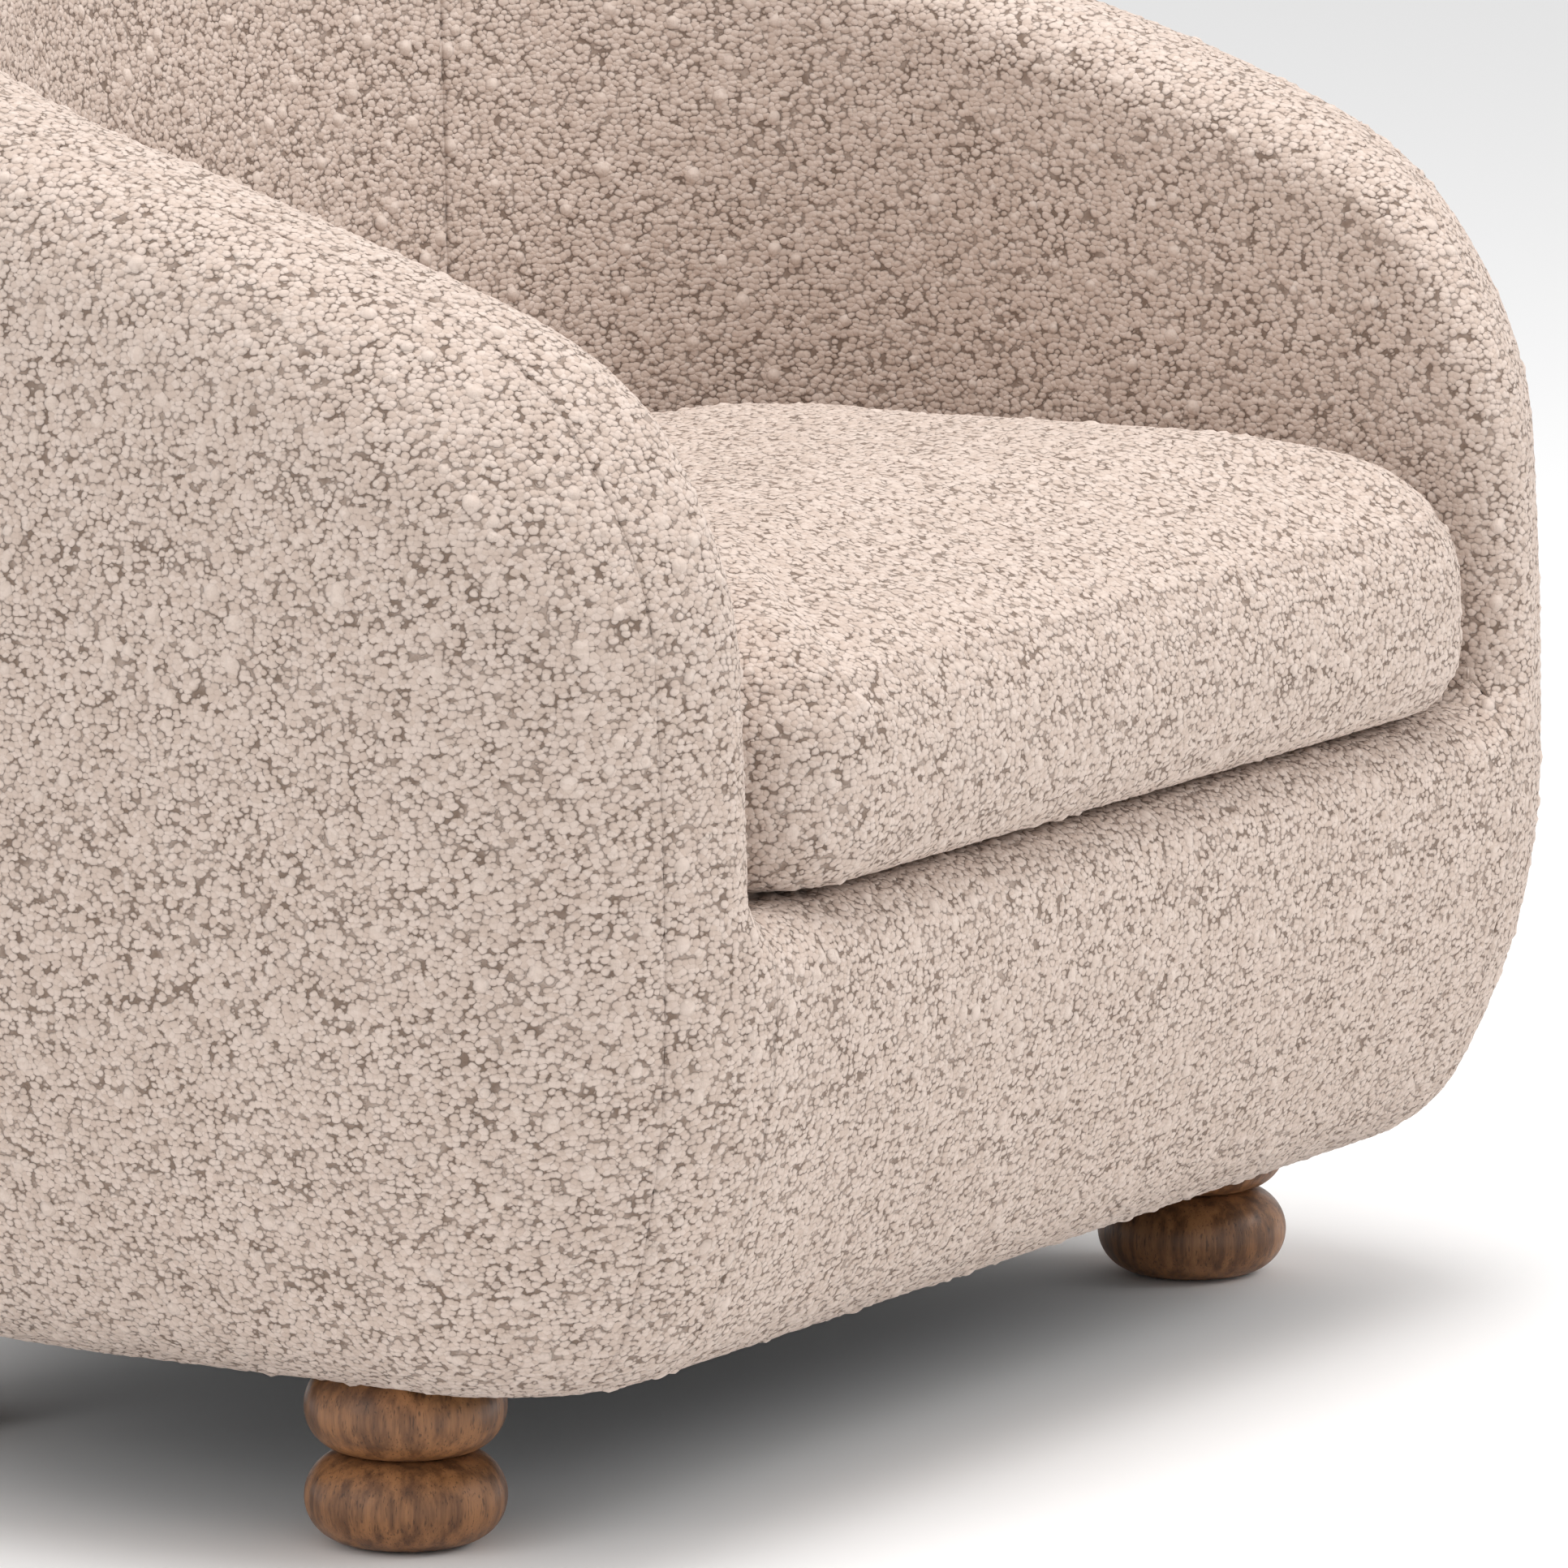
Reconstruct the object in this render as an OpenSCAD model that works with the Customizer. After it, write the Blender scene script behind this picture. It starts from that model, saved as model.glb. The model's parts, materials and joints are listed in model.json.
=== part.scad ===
// Wide one-seat lounge chair: a rounded tub of arms and back on four turned double-bun feet,
// with one loose seat cushion. Front faces -Y, the seated person's left is +X, +Z is up.
// The origin is on the floor, under the middle of the chair.

/* [Tub] */
// Width of the tub at its fullest height
body_w = 1064; // [1040:2:1090]
// Depth of the tub from the front face to the back
body_d = 776; // [760:2:800]
// Height of the underside of the upholstery
body_z = 86; // [84:1:90]
// Height of the arm's top plane at its front end, before rounding
arm_h = 592; // [570:2:620]
// Rise of the top plane from the arm's front end towards the back
back_rise = 270; // [240:5:290]
// How much the rise eases off over the same run
rise_ease = 80; // [60:5:100]
// How far the sides and front tuck in at the bottom
tuck = 66; // [50:1:70]
// Radius of the front corners seen from above
corner_r = 165; // [140:5:180]

/* [Seat] */
// Width between the arms
seat_w = 760; // [740:2:770]
// Height of the sprung deck that the cushion lies on
deck_z = 330; // [325:1:340]
// Thickness of the seat cushion along its edges
cushion_t = 126; // [115:1:135]
// Extra height of the cushion's crown
crown = 26; // [15:1:30]
// How far the cushion reaches past the front face
overhang = 10; // [5:1:14]

/* [Feet] */
// Diameter of each bun of a foot
bun_d = 102; // [90:1:106]
// Height of each bun
bun_h = 46; // [40:1:50]
// Distance between the front feet
front_feet = 796; // [760:2:800]
// Distance between the back feet
back_feet = 580; // [540:5:600]

/* [Hidden] */

// Places along Y. The tub's back and the cushion's front are equally far from the origin.
back_y = (body_d + overhang) / 2;
front_y = back_y - body_d;
arm_run = 336;
barrel_y = front_y + arm_run; // the arms run straight up to here, and the barrel starts
feet_in = 206; // from the front to the middle of the front feet
feet_y = front_y + feet_in;
back_feet_in = 590;
back_feet_y = front_y + back_feet_in;

// The tub's surface
bulge_z = 300; // height of the fullest part of the sides
tuck_n = 2.2; // how late the tuck starts on the way down
lean = 30; // how far the sides lean in again over the next lean_run
lean_run = 400;
outer_n = 2.25; // squareness of the barrel's outline
inner_n = 2.1;
inner_b = 250; // reach of the inner barrel behind barrel_y, at seat height
recline = 0.12; // how far the inner back leans back per mm of height
recline_z = 450; // the inner barrel reaches inner_b at this height
recline_low = 120; // and stands upright from this far below it
low_b = inner_b - recline * recline_low;
edge_bottom = 36;
edge_top = 74;
edge_front = 130;
edge_inner = 46;
edge_mouth = 34; // round the arm's front towards the seat
edge_crease = 3; // the same edge below the deck, where the front meets the arm
crease_rise = 30; // the height over which one turns into the other
crease_z = deck_z - 10;
front_run = 260; // the front edges' rounding has turned into edge_top this far back
rise_run = 700; // the top plane rises over this run
top_lean = 0.965; // cosine of the top plane's slope
arm_t = (body_w - seat_w) / 2;
core_share = 0.33; // where in the wall its sections are drawn from, from the seat's side
core_shift = 0.17; // nearer the middle of the wall at the back
wall_m = seat_w / 2 + core_share * arm_t;

// Layers
cover_t = 3;
gap = 0.3;
foam_out = 25;
foam_in = 45;
board_t = 18;
panel_t = 18;
rib_t = 15;
rail_t = 22;
rail_top = 300;
cloth_t = 2;

foot_z = 1; // the glides stand this far out of the feet
board_z = foot_z + 2 * bun_h;
board_top = board_z + board_t;
split = 47; // angle of the seams where the arms end and the back begins

// Rounded joining of two distances, with radius r
function smax(a, b, r) =
    let (u = max(a + r, 0), v = max(b + r, 0)) min(-r, max(a, b)) + sqrt(u * u + v * v);

function clip01(v) = max(0, min(1, v));
function smooth01(v) = let (k = clip01(v)) k * k * (3 - 2 * k);

// How far the sides stand out at height z, 0 at the fullest height
function bulge(z) = z < bulge_z
    ? -tuck * pow((bulge_z - z) / (bulge_z - body_z), tuck_n)
    : -lean * pow((z - bulge_z) / lean_run, 2);

// Distance from a superellipse of half axes a and b
function oval(x, y, a, b, n) =
    let (
        u = abs(x) / a,
        v = max(abs(y) / b, 0.000001),
        f = pow(pow(u, n) + pow(v, n), 1 / n),
        gu = pow(u, n - 1) / a,
        gv = pow(v, n - 1) / b
    )
    (f - 1) / (pow(f, 1 - n) * sqrt(gu * gu + gv * gv));

// Distance from the outline of a straight front with rounded corners
function boxed(x, y, half, front, r) =
    let (u = abs(x) - half + r, v = front + r - y)
    min(max(u, v), 0) + norm([max(u, 0), max(v, 0)]) - r;

function outline(x, y, z) =
    (y < barrel_y
        ? boxed(x, y, body_w / 2, front_y, corner_r)
        : oval(x, y - barrel_y, body_w / 2, back_y - barrel_y, outer_n)) - bulge(z);

// Distance from the seat well between the arms, negative inside it
function well(x, y, z) = y < barrel_y
    ? abs(x) - seat_w / 2
    : oval(x, y - barrel_y, seat_w / 2, inner_b + recline * max(z - recline_z, -recline_low), inner_n);

function ridge(y) = let (s = clip01((y - front_y) / rise_run)) arm_h + back_rise * s - rise_ease * s * s;

// Distance from the surface of the arms and back, negative inside
function ring(p) =
    let (
        top = (p.z - ridge(p.y)) * top_lean,
        k = smooth01((p.y - front_y) / front_run),
        outer = smax(outline(p.x, p.y, p.z), top, edge_front * (1 - k) + edge_top * k),
        inner = smax(-well(p.x, p.y, p.z), top, edge_inner),
        mouth = edge_crease + (edge_mouth - edge_crease) * clip01((p.z - crease_z) / crease_rise)
    )
    smax(smax(outer, inner, mouth), body_z - p.z, edge_bottom);

// How far a ray from p along d goes until it is within depth of the surface, by halving
ray_max = 420;
ray_steps = 15;
function reach(p, d, depth, low = 0, high = ray_max, n = ray_steps) =
    let (mid = (low + high) / 2)
    n == 0 ? mid
    : ring(p + d * mid) < -depth ? reach(p, d, depth, mid, high, n - 1)
    : reach(p, d, depth, low, mid, n - 1);
function hit(p, d, depth) = p + d * reach(p, d, depth);

// A station is a place along the wall: minus the distance ahead of barrel_y on the arm,
// or the angle round the barrel from 0 to 180 degrees. Each has a vertical plane.
// Stations from -500 down turn round the arm's front end: -500 faces outwards,
// -590 faces the front and -680 faces the seat.
end_in = 120;
end_y = front_y + end_in; // the axis stays inside the tub right down to its hem
end_station = end_y - barrel_y;
corner_turn = 90 + atan((wall_m - seat_w / 2) / (end_y - front_y)); // towards the inner corner
function is_end(t) = t <= -500;
function turned(t) = -500 - t; // degrees turned round the end
function base(t) = is_end(t) ? [wall_m, end_y, 0] : [0, barrel_y + min(t, 0), 0];
function out(t) = is_end(t) ? [cos(turned(t)), -sin(turned(t)), 0]
    : t <= 0 ? [1, 0, 0] : [cos(t), sin(t), 0];
function seatward(t) = is_end(t) ? out(t) : -out(t);
up = [0, 0, 1];
function oval_r(t, a, b, n) = pow(pow(abs(cos(t)) / a, n) + pow(abs(sin(t)) / b, n), -1 / n);
function wall(t) = is_end(t) ? 0 : t <= 0 ? wall_m
    : let (
        outer = oval_r(t, body_w / 2, back_y - barrel_y, outer_n),
        inner = oval_r(t, seat_w / 2, inner_b, inner_n)
    )
    inner + (outer - inner) * (core_share + core_shift * sin(t));
function mid_at(t, z) = base(t) + out(t) * wall(t) + up * z;

function low_z(t, depth) = hit(mid_at(t, bulge_z), -up, depth).z;
function high_z(t, depth) = hit(mid_at(t, bulge_z), up, depth).z;
fan_drop = 70; // the rounded top is drawn from a line this far below the highest points
function fan_z(t) = high_z(t, 0) - fan_drop;
side_low = 39; // the sides are drawn from this far above the bottom
hem_in = 20; // the hem is rounded from a line this far inside the bottom edge
function hem(t) =
    let (z = low_z(t, 0) + hem_in, d = reach(mid_at(t, z), out(t), 0))
    mid_at(t, z) + out(t) * max(0, d - hem_in);

side_n = 6;
inner_n_z = 9;
fan_step = 20;
hem_angles = [-90, -60, -30];
seam_a = 80; // the covers meet at this angle on the outer shoulder

function hem_points(t, depth) =
    [for (a = hem_angles) hit(hem(t), out(t) * cos(a) + up * sin(a), depth)];
function side_points(t, depth) =
    let (a = low_z(t, 0) + side_low, b = fan_z(t))
    [for (k = [0:side_n]) hit(mid_at(t, a + (b - a) * k / side_n), out(t), depth)];
function fan_points(t, depth, way, angles) =
    [for (a = angles) hit(mid_at(t, fan_z(t)), way * cos(a) + up * sin(a), depth)];
function inner_points(t, depth, floor_z) =
    let (a = fan_z(t))
    [for (k = [0:inner_n_z]) hit(mid_at(t, a + (floor_z - a) * k / inner_n_z), seatward(t), depth)];
// The same number of points, down the arm's front and round its hem
function front_points(t, depth) =
    let (rows = concat(hem_points(t, depth), side_points(t, depth)))
    [for (k = [inner_n_z:-1:0]) rows[k]];
hem_turn = 135; // from here on, the rays meet the arm's flat inner side at every height
function reaches_hem(t) = is_end(t) && turned(t) <= hem_turn;

rising = [20:fan_step:seam_a];
falling = [180 - seam_a:-fan_step:20];
function outside(t, depth) = concat(
    hem_points(t, depth), side_points(t, depth), fan_points(t, depth, out(t), rising));
function inside(t, depth, floor_z) = concat(
    fan_points(t, depth, seatward(t), falling),
    reaches_hem(t) ? front_points(t, depth) : inner_points(t, depth, floor_z));
function whole(t, depth, floor_z) = concat(
    outside(t, depth), fan_points(t, depth, seatward(t), [80:-fan_step:20]),
    inner_points(t, depth, floor_z));

arm_stations = [end_station, -180, -140, -90, -40, 0, 12, 24, 36, split];
back_stations = [for (k = [0:8]) split + (180 - 2 * split) * k / 8];
front_turn = 15;
front_outside = [for (k = [90:-front_turn:front_turn]) -500 - k];
front_inside = concat([-590, -600, -500 - corner_turn], [for (k = [120:front_turn:165]) -500 - k]);

// Faces of a grid of points with rows of n, the first point at index from
function grid_faces(rows, n, from, flip) = [
    for (i = [0:rows - 2], j = [0:n - 2])
        let (a = from + i * n + j, b = a + 1, c = a + n, d = c + 1)
        each flip ? [[a, b, d], [a, d, c]] : [[a, d, b], [a, c, d]]
];
function edge_faces(rows, n, m) = concat(
    [for (i = [0:rows - 2]) let (a = i * n, b = a + n) each [[a, a + m, b + m], [a, b + m, b]]],
    [for (i = [0:rows - 2]) let (a = i * n + n - 1, b = a + n) each [[a, b + m, a + m], [a, b, b + m]]],
    [for (j = [0:n - 2]) each [[j, j + 1 + m, j + m], [j, j + 1, j + 1 + m]]],
    [for (j = [0:n - 2]) let (a = (rows - 1) * n + j) each [[a, a + m, a + 1 + m], [a, a + 1 + m, a + 1]]]
);

// A skin between two grids of points
module skin(outer, inner) {
    rows = len(outer);
    n = len(outer[0]);
    polyhedron(
        points = concat([for (r = inner) each r], [for (r = outer) each r]),
        faces = concat(grid_faces(rows, n, 0, false), grid_faces(rows, n, rows * n, true),
            edge_faces(rows, n, rows * n))
    );
}

function turned_round(list) = [for (k = [len(list) - 1:-1:0]) list[k]];

// A solid through closed sections. Its flat ends are the faces in ends, or one face each
// if that is left out. Sections that run clockwise, seen from the first towards the last,
// are flipped.
module loft(sections, flip = false, ends = []) {
    rows = len(sections);
    n = len(sections[0]);
    near = len(ends) > 0 ? ends : [[for (j = [0:n - 1]) j]];
    faces = concat(
        [for (i = [0:rows - 2], j = [0:n - 1])
            let (a = i * n + j, b = i * n + (j + 1) % n, c = a + n, d = b + n)
            each [[a, d, b], [a, c, d]]],
        near,
        [for (e = near) [for (j = turned_round(e)) (rows - 1) * n + j]]
    );
    polyhedron(
        points = [for (s = sections) each s],
        faces = flip ? [for (f = faces) turned_round(f)] : faces
    );
}

module both_sides(side) {
    if (side > 0) {
        children();
    } else {
        mirror([1, 0, 0]) children();
    }
}

// ---- Upholstery of the tub ----

module outer_cover(stations) {
    color("#bda596")
        skin([for (t = stations) outside(t, 0)], [for (t = stations) outside(t, cover_t)]);
}

// The inside cover reaches below the deck, and down to the hem on the arm's front
cover_floor = deck_z - 14;
pad_floor = deck_z - 16; // the padding behind it reaches a little lower
module inside_cover(stations) {
    color("#c6afa0")
        skin([for (t = stations) inside(t, 0, cover_floor)],
            [for (t = stations) inside(t, cover_t, cover_floor)]);
}

module outer_cover_left() both_sides(1) outer_cover(concat(front_outside, arm_stations));
module outer_cover_right() both_sides(-1) outer_cover(concat(front_outside, arm_stations));
module outer_cover_back() outer_cover(back_stations);
module inside_cover_left() both_sides(1) inside_cover(concat(front_inside, arm_stations));
module inside_cover_right() both_sides(-1) inside_cover(concat(front_inside, arm_stations));
module inside_cover_back() inside_cover(back_stations);

// The foam that closes the front end of an arm, wrapped round an upright post's hole
post_r = 12;
pad_outside = [for (k = [75:-front_turn:0]) -500 - k];
// From the post's foot out and up over the surface to its head, without the list's last point
function pad_section(t, list) =
    let (core = base(t) + out(t) * post_r, top = len(list) - 2)
    concat([core + up * list[0].z], [for (k = [1:top]) list[k]], [core + up * list[top].z]);
module arm_front_pad(side) {
    depth = cover_t + gap;
    color("#efe3b4") both_sides(side)
        loft(flip = true, sections = concat(
            [for (t = concat([-680], turned_round(front_inside)))
                pad_section(t, turned_round(inside(t, depth, cover_floor)))],
            [for (t = pad_outside) pad_section(t, concat(outside(t, depth), [up]))]));
}

// The outer point across the foam from each inner one, from the outer side over to the seat's
arch_match = [3, 4, 5, 6, 7, 8, 9, 11, 12, 13, 14, 15, 16, 18, 19, 20, 21, 22, 23, 24, 25, 26, 27];
arch_n = 28 + len(arch_match);
arch_ends = concat(
    [for (j = [0:arch_match[0] - 1]) [j, j + 1, arch_n - 1]],
    [for (i = [0:len(arch_match) - 2]) each concat(
        [for (j = [arch_match[i]:arch_match[i + 1] - 1]) [j, j + 1, arch_n - 1 - i]],
        [[arch_match[i + 1], arch_n - 2 - i, arch_n - 1 - i]])]
);

// The foam over the arm's or back's frame: an arch, open underneath
module arch(stations) {
    color("#efe3b4") loft(flip = true, ends = arch_ends, sections = [for (t = stations)
        let (
            a = whole(t, cover_t + gap, pad_floor),
            inner = inner_points(t, foam_in, pad_floor),
            top = concat(fan_points(t, foam_in, out(t), [40:fan_step:80]),
                fan_points(t, foam_in, seatward(t), [80:-fan_step:40])),
            side = side_points(t, foam_out)
        )
        concat(a, turned_round(inner), turned_round(top),
            turned_round(side))
    ]);
}
module arm_padding(side) {
    both_sides(side)
        arch(concat([end_station + gap], [for (k = [1:len(arm_stations) - 1]) arm_stations[k]]));
}

module arm_front_pad_left() arm_front_pad(1);
module arm_front_pad_right() arm_front_pad(-1);
module arm_padding_left() arm_padding(1);
module arm_padding_right() arm_padding(-1);
module back_padding() arch(back_stations);

// The front below the cushion: the same bulged profile, straight from arm to arm
board_front = end_y + 2;
front_half = seat_w / 2 - gap;
nose_r = 34;
hem_h = 16; // the front's hem is rounded up to this height
face_step = 22;
function front_face(depth) = [
    for (z = [body_z + hem_h:face_step:deck_z - nose_r]) [front_y - bulge(z) + depth, z]
];
function nose(depth) =
    let (z = deck_z - nose_r, y = front_y - bulge(z) + nose_r)
    [for (a = [20:20:90]) [y - (nose_r - depth) * cos(a), z + (nose_r - depth) * sin(a)]];
function front_hem(depth) =
    let (p = front_face(depth)[0])
    [[p.x + 26, body_z + depth], [p.x + 8, body_z + 5 + depth]];
function front_line(depth) = concat(front_hem(depth), front_face(depth), nose(depth));

// Draws a (Y, Z) outline and runs it from one X to another
module across(x0, x1, points) {
    translate([x0, 0, 0])
        rotate([90, 0, 90])
            linear_extrude(x1 - x0)
                polygon(points);
}

module front_padding() {
    depth = cover_t + gap;
    line = front_line(depth);
    color("#efe3b4")
        across(-front_half, front_half, concat(line, [
            [board_front - gap, deck_z - depth],
            [board_front - gap, body_z + depth]
        ]));
}
module front_cover() {
    outer = front_line(0);
    inner = front_line(cover_t);
    color("#c6afa0")
        across(-front_half, front_half, concat(outer,
            turned_round(inner)));
}

// ---- Frame ----

rim_in = 6; // the board's edge stays this far inside the hem
function rim(t, inset) = norm(hem(t) - [0, base(t).y, hem(t).z]) - rim_in - inset;
board_corner = 30;
function board_outline(inset) =
    let (
        c = [rim(-200, inset) - board_corner, board_front + inset + board_corner],
        right = concat(
            [for (a = [0:15:90]) c + board_corner * [sin(a), -cos(a)]],
            [for (t = [10:10:90]) [0, barrel_y] + rim(t, inset) * [cos(t), sin(t)]]),
        left = [for (k = [len(right) - 2:-1:0]) [-right[k].x, right[k].y]]
    )
    concat(right, left);
feet = [
    [front_feet / 2, feet_y], [-front_feet / 2, feet_y],
    [back_feet / 2, back_feet_y], [-back_feet / 2, back_feet_y]
];
bolt_r = 4;
nut_r = 5.5;
nut_h = 14;
flange_r = 12;
flange_t = 1.5;
bolt_out = 4; // how far a bolt stands out above the board

module base_board() {
    color("#d9b98a")
        difference() {
            translate([0, 0, board_z])
                linear_extrude(board_t)
                    polygon(board_outline(0));
            for (f = feet) {
                translate([f.x, f.y, board_z - 1]) cylinder(r = nut_r, h = board_t + 2, $fn = 48);
            }
        }
}

panel_x = 426;
rail_x = panel_x - rail_t;
rear_y = 95; // front face of the back rail
rail_y = board_front + 2; // front face of the front rail
rail_h = rail_top - board_top;
nut_room = 2; // the side rails clear the flanges of the front feet's nuts
module front_rail() {
    color("#e0c79b")
        translate([-panel_x, rail_y, board_top]) cube([2 * panel_x, rail_t, rail_h]);
}
module back_rail() {
    color("#e0c79b")
        translate([-rail_x, rear_y, board_top]) cube([2 * rail_x, rail_t, rail_h]);
}
module side_rail(side) {
    start = rail_y + rail_t;
    color("#e0c79b") both_sides(side)
        translate([rail_x, start, board_top + nut_room])
            cube([rail_t, rear_y + rail_t - start, rail_h - nut_room]);
}
module side_rail_left() side_rail(1);
module side_rail_right() side_rail(-1);

block = 45;
module corner_blocks() {
    start = rail_y + rail_t;
    color("#e0c79b")
        for (side = [1, -1]) {
            both_sides(side) {
                translate([0, 0, board_top])
                    linear_extrude(block)
                        polygon([[rail_x, start], [rail_x - block, start], [rail_x, start + block]]);
                translate([0, 0, board_top])
                    linear_extrude(block)
                        polygon([[rail_x, rear_y], [rail_x - block, rear_y], [rail_x, rear_y - block]]);
            }
        }
}

panel_stations = [for (k = [0:6]) (end_station + 2) * (1 - k / 6)];
top_rail_w = 34;
top_rail_t = 20;
under_drop = 30; // the top rails' lower face is this far below the fan line
function under_top(t) = fan_z(t) - under_drop;
module arm_panel(side) {
    top = [for (t = panel_stations) [barrel_y + t, under_top(t)]];
    color("#d9b98a") both_sides(side)
        across(panel_x, panel_x + panel_t,
            concat(top, [[barrel_y, board_top], [top[0].x, board_top]]));
}
module arm_panel_left() arm_panel(1);
module arm_panel_right() arm_panel(-1);

module arm_top_rail(side) {
    low = [for (t = panel_stations) [barrel_y + t, under_top(t)]];
    color("#e0c79b") both_sides(side)
        across(panel_x, panel_x + top_rail_w,
            concat(low, [for (p = turned_round(low)) p + [0, top_rail_t]]));
}
module arm_top_rail_left() arm_top_rail(1);
module arm_top_rail_right() arm_top_rail(-1);

// The outer edge of a rib in a station's plane, clear of the outer padding
rib_low = board_top + 20;
rib_drop = 4;
rib_n = 8; // steps along a rib's curved edge
function rib_top(t) = under_top(t) - rib_drop;
rib_clear = 8; // between a rib and the foam, whose inner face is faceted
function rib_edge(t) = [
    for (k = [0:rib_n])
        let (z = rib_low + (rib_top(t) - rib_low) * k / rib_n)
        [wall(t) + reach(mid_at(t, z), out(t), foam_out + rib_clear), z]
];
module rib(t, profile) {
    translate(base(t))
        rotate([0, 0, t <= 0 ? 0 : t])
            rotate([90, 0, 0])
                linear_extrude(rib_t, center = true)
                    polygon(profile);
}
module arm_ribs(side) {
    x = panel_x + panel_t;
    color("#d9b98a") both_sides(side)
        for (t = [-190, -110, -30]) {
            rib(t, concat(rib_edge(t), [[x, rib_top(t)], [x, rib_low]]));
        }
}
module arm_ribs_left() arm_ribs(1);
module arm_ribs_right() arm_ribs(-1);

function back_edge(t, z) = wall(t) - reach(mid_at(t, z), -out(t), foam_in + rib_clear);
module back_ribs() {
    color("#d9b98a")
        for (t = [30:30:150]) {
            top = rib_top(t);
            low = deck_z + 20;
            rib(t, concat([[rim(t, rib_clear), board_top]], rib_edge(t), [
                [back_edge(t, top), top], [back_edge(t, low), low], [back_edge(t, low), board_top]
            ]));
        }
}
bow_in = 3;
bow_w = 30;
bow_t = 20;
bow_end = 1; // angle at which each end stops, just short of the arm
bow_n = 20;
module back_bow() {
    color("#e0c79b")
        loft([for (k = [0:bow_n])
            let (t = 180 - bow_end - (180 - 2 * bow_end) * k / bow_n,
                near = mid_at(t, under_top(t)) - out(t) * bow_in, far = near + out(t) * bow_w)
            [near, far, far + up * bow_t, near + up * bow_t]]);
}

// ---- Sprung deck ----

strap_w = 60;
strap_t = 2.5;
long_step = 130;
cross_start = -190;
cross_step = 90;
strap_end = panel_x - 2;
module long_webbing() {
    color("#4a4643")
        for (x = [-2 * long_step:long_step:2 * long_step]) {
            translate([x - strap_w / 2, rail_y, rail_top])
                cube([strap_w, rear_y + rail_t - rail_y, strap_t]);
        }
}
module cross_webbing() {
    color("#4a4643")
        for (k = [0:3]) {
            translate([-strap_end, cross_start + k * cross_step - strap_w / 2, rail_top + strap_t])
                cube([2 * strap_end, strap_w, strap_t]);
        }
}
deck_inset = 4; // clear of the inside covers, whose faces are flat between stations
function deck_outline(inset) =
    let (
        a = seat_w / 2 - inset,
        b = low_b - inset,
        right = concat([[a, board_front]],
            [for (t = [0:10:90]) [0, barrel_y] + oval_r(t, a, b, inner_n) * [cos(t), sin(t)]])
    )
    concat(right, [for (k = [len(right) - 2:-1:0]) [-right[k].x, right[k].y]]);
module deck_pad() {
    z = rail_top + 2 * strap_t;
    color("#efe3b4")
        translate([0, 0, z])
            linear_extrude(deck_z - cloth_t - z)
                polygon(deck_outline(deck_inset));
}
module deck_cloth() {
    color("#a79b90")
        translate([0, 0, deck_z - cloth_t])
            linear_extrude(cloth_t)
                polygon(deck_outline(deck_inset));
}
dust_t = 1.2;
dust_in = 8;
dust_hole_r = 38; // clear of the feet's flat tops
module dust_cover() {
    color("#2b2927")
        difference() {
            translate([0, 0, board_z - dust_t]) linear_extrude(dust_t) polygon(board_outline(dust_in));
            for (f = feet) {
                translate([f.x, f.y, board_z - 2 * dust_t])
                    cylinder(r = dust_hole_r, h = 3 * dust_t, $fn = 64);
            }
        }
}

// ---- Feet ----

glide_r = 20;
glide_in = 2; // how deep a glide is let into its foot
bolt_low = 42; // how deep in a foot its bolt starts
module bun() {
    r = bun_h / 2;
    square([bun_d / 2 - r, bun_h]);
    translate([bun_d / 2 - r, r]) circle(r = r, $fn = 96);
}
module foot(f) {
    color("#7a4a2b")
        translate([f.x, f.y, foot_z])
            difference() {
                rotate_extrude($fn = 96) {
                    bun();
                    translate([0, bun_h]) bun();
                }
                translate([0, 0, -1]) cylinder(r = glide_r, h = glide_in + 1, $fn = 64);
                translate([0, 0, bolt_low]) cylinder(r = bolt_r, h = 2 * bun_h, $fn = 48);
            }
}
module foot_front_left() foot(feet[0]);
module foot_front_right() foot(feet[1]);
module foot_back_left() foot(feet[2]);
module foot_back_right() foot(feet[3]);
module foot_glides() {
    color("#5a534d")
        for (f = feet) {
            translate([f.x, f.y, 0]) cylinder(r = glide_r, h = foot_z + glide_in, $fn = 64);
        }
}
module foot_bolts() {
    color("#b8bcc0")
        for (f = feet) {
            translate([f.x, f.y, foot_z + bolt_low])
                cylinder(r = bolt_r, h = board_top + bolt_out - foot_z - bolt_low, $fn = 48);
        }
}
module tee_nuts() {
    color("#b8bcc0")
        for (f = feet) {
            translate([f.x, f.y, board_top])
                difference() {
                    union() {
                        translate([0, 0, -nut_h]) cylinder(r = nut_r, h = nut_h, $fn = 48);
                        cylinder(r = flange_r, h = flange_t, $fn = 48);
                    }
                    translate([0, 0, -nut_h - 1])
                        cylinder(r = bolt_r, h = nut_h + flange_t + 2, $fn = 48);
                }
        }
}

// ---- Seat cushion ----

cushion_z = deck_z + gap;
cushion_half = seat_w / 2 - 6; // 6 mm clear of each arm
cushion_b = low_b - 3;
cushion_corner = 45;
cushion_front = front_y - overhang;
box_z = cushion_z + cloth_t;
box_h = cushion_t - cloth_t;
function cushion_outline(inset) =
    let (
        a = cushion_half - inset,
        b = cushion_b - inset,
        r = cushion_corner,
        c = [a - r, cushion_front + inset + r],
        right = concat(
            [for (t = [0:22.5:90]) c + r * [sin(t), -cos(t)]],
            [for (t = [0:10:90]) [0, barrel_y] + oval_r(t, a, b, inner_n) * [cos(t), sin(t)]])
    )
    concat(right, [for (k = [len(right) - 2:-1:0]) [-right[k].x, right[k].y]]);
cushion_mid = [0, (cushion_front + barrel_y + cushion_b) / 2];
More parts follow.
